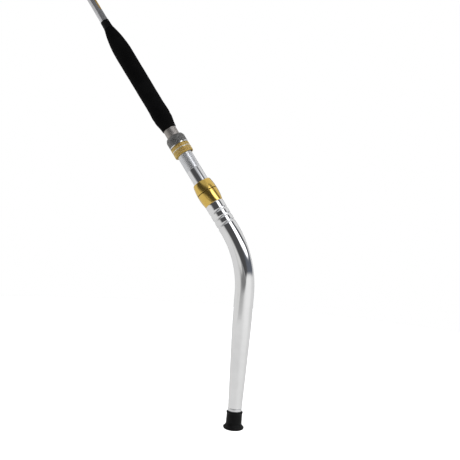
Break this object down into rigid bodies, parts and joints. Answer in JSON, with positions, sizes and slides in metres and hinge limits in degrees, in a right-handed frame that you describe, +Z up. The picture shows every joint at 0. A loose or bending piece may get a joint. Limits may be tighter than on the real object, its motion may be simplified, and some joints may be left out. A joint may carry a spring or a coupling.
{
  "type": "bent-butt trolling rod",
  "caption": "Bent metal-butt trolling rod with rubber butt cap, screw-lock reel seat, foam foregrip, ferruled blank, roller guides and roller tip.",
  "frame": {"origin": "centre of the flat foot under the rubber butt cap", "axes": "+Z up the axis of the lower half of the butt; the bend lies in the XZ plane and the upper half leans towards -X; the reel and the guides are on its +X side; Y is across"},
  "size_m": [0.8452, 0.0472, 1.4122],
  "materials": {
    "polished_aluminium": "mirror polished",
    "nock_aluminium": "machined",
    "seat_aluminium": "polished below, fine thread above",
    "gold_anodised": "gold anodised, polished",
    "gold_knurled": "gold anodised, knurled",
    "gunmetal_knurled": "dark grey anodised, knurled",
    "satin_ferrule": "satin",
    "washer_steel": "bright",
    "cap_rubber": "moulded, satin",
    "eva_foam": "closed-cell foam, matt",
    "blank_gloss": "lacquered",
    "thread_wrap": "thread under epoxy",
    "guide_frame": "polished",
    "guide_axle": "turned",
    "guide_roller": "gold anodised",
    "guide_bush": "sintered bronze"
  },
  "bodies": {
    "butt": {"butt_tube": "polished_aluminium", "gimbal_nock": "nock_aluminium", "lower_collar": "gold_anodised", "fixed_hood": "gold_anodised", "seat_tube": "seat_aluminium"},
    "cap": {"gimbal_cap": "cap_rubber"},
    "hood": {"sliding_hood": "gold_knurled", "hood_washer": "washer_steel"},
    "lock_nut": {"lock_nut": "gold_knurled"},
    "rod": {"ferrule": "satin_ferrule", "ferrule_key": "satin_ferrule", "foregrip": "eva_foam", "winding_check": "cap_rubber", "blank": "blank_gloss", "stripper_frame": "guide_frame", "stripper_axles": "guide_axle", "stripper_wraps": "thread_wrap", "guide_1_frame": "guide_frame", "guide_1_axle": "guide_axle", "guide_1_wraps": "thread_wrap", "guide_2_frame": "guide_frame", "guide_2_axle": "guide_axle", "guide_2_wraps": "thread_wrap", "guide_3_frame": "guide_frame", "guide_3_axle": "guide_axle", "guide_3_wraps": "thread_wrap", "guide_4_frame": "guide_frame", "guide_4_axle": "guide_axle", "guide_4_wraps": "thread_wrap", "tip_frame": "guide_frame", "tip_axle": "guide_axle", "tip_wrap": "thread_wrap"},
    "washer": {"thrust_washer": "washer_steel"},
    "coupling": {"coupling_nut": "gunmetal_knurled"},
    "stripper_low": {"stripper_roller_low": "guide_roller", "stripper_bush_low": "guide_bush"},
    "stripper_high": {"stripper_roller_high": "guide_roller", "stripper_bush_high": "guide_bush"},
    "roller_1": {"guide_1_roller": "guide_roller", "guide_1_bush": "guide_bush"},
    "roller_2": {"guide_2_roller": "guide_roller", "guide_2_bush": "guide_bush"},
    "roller_3": {"guide_3_roller": "guide_roller", "guide_3_bush": "guide_bush"},
    "roller_4": {"guide_4_roller": "guide_roller", "guide_4_bush": "guide_bush"},
    "tip_sheave": {"tip_roller": "guide_roller", "tip_bush": "guide_bush"}
  },
  "joints": [
    {"name": "cap_slide", "type": "slide", "parent": "butt", "child": "cap", "axis": [0, 0, -1], "range_m": [0, 0.045]},
    {"name": "hood_slide", "type": "slide", "parent": "butt", "child": "hood", "axis": [0.6252, 0, -0.7804], "range_m": [0, 0.048]},
    {"name": "lock_nut_turn", "type": "hinge", "parent": "hood", "child": "lock_nut", "pos_m": [-0.18007, 0, 0.60076], "axis": [0.6252, 0, -0.7804], "range_deg": [0, 11520]},
    {"name": "rod_slide", "type": "slide", "parent": "butt", "child": "rod", "axis": [-0.6252, 0, 0.7804], "range_m": [0, 0.085]},
    {"name": "washer_slide", "type": "slide", "parent": "rod", "child": "washer", "axis": [-0.6252, 0, 0.7804], "range_m": [0, 0.014]},
    {"name": "coupling_nut_turn", "type": "hinge", "parent": "washer", "child": "coupling", "pos_m": [-0.19007, 0, 0.61325], "axis": [-0.6252, 0, 0.7804], "range_deg": [0, 3360]},
    {"name": "stripper_low_spin", "type": "hinge", "parent": "rod", "child": "stripper_low", "pos_m": [-0.46888, 0, 0.9934], "axis": [0, 1, 0], "continuous": true},
    {"name": "stripper_high_spin", "type": "hinge", "parent": "rod", "child": "stripper_high", "pos_m": [-0.45015, 0, 1.0084], "axis": [0, 1, 0], "continuous": true},
    {"name": "roller_1_spin", "type": "hinge", "parent": "rod", "child": "roller_1", "pos_m": [-0.54869, 0, 1.09475], "axis": [0, 1, 0], "continuous": true},
    {"name": "roller_2_spin", "type": "hinge", "parent": "rod", "child": "roller_2", "pos_m": [-0.62028, 0, 1.18091], "axis": [0, 1, 0], "continuous": true},
    {"name": "roller_3_spin", "type": "hinge", "parent": "rod", "child": "roller_3", "pos_m": [-0.68431, 0, 1.25775], "axis": [0, 1, 0], "continuous": true},
    {"name": "roller_4_spin", "type": "hinge", "parent": "rod", "child": "roller_4", "pos_m": [-0.74202, 0, 1.32683], "axis": [0, 1, 0], "continuous": true},
    {"name": "tip_spin", "type": "hinge", "parent": "rod", "child": "tip_sheave", "pos_m": [-0.81329, 0, 1.39915], "axis": [0, 1, 0], "continuous": true}
  ],
  "couplings": [
    {"joint": "hood_slide", "follows": "lock_nut_turn", "m_per_rad": 0.00023873},
    {"joint": "washer_slide", "follows": "coupling_nut_turn", "m_per_rad": 0.00023873}
  ]
}
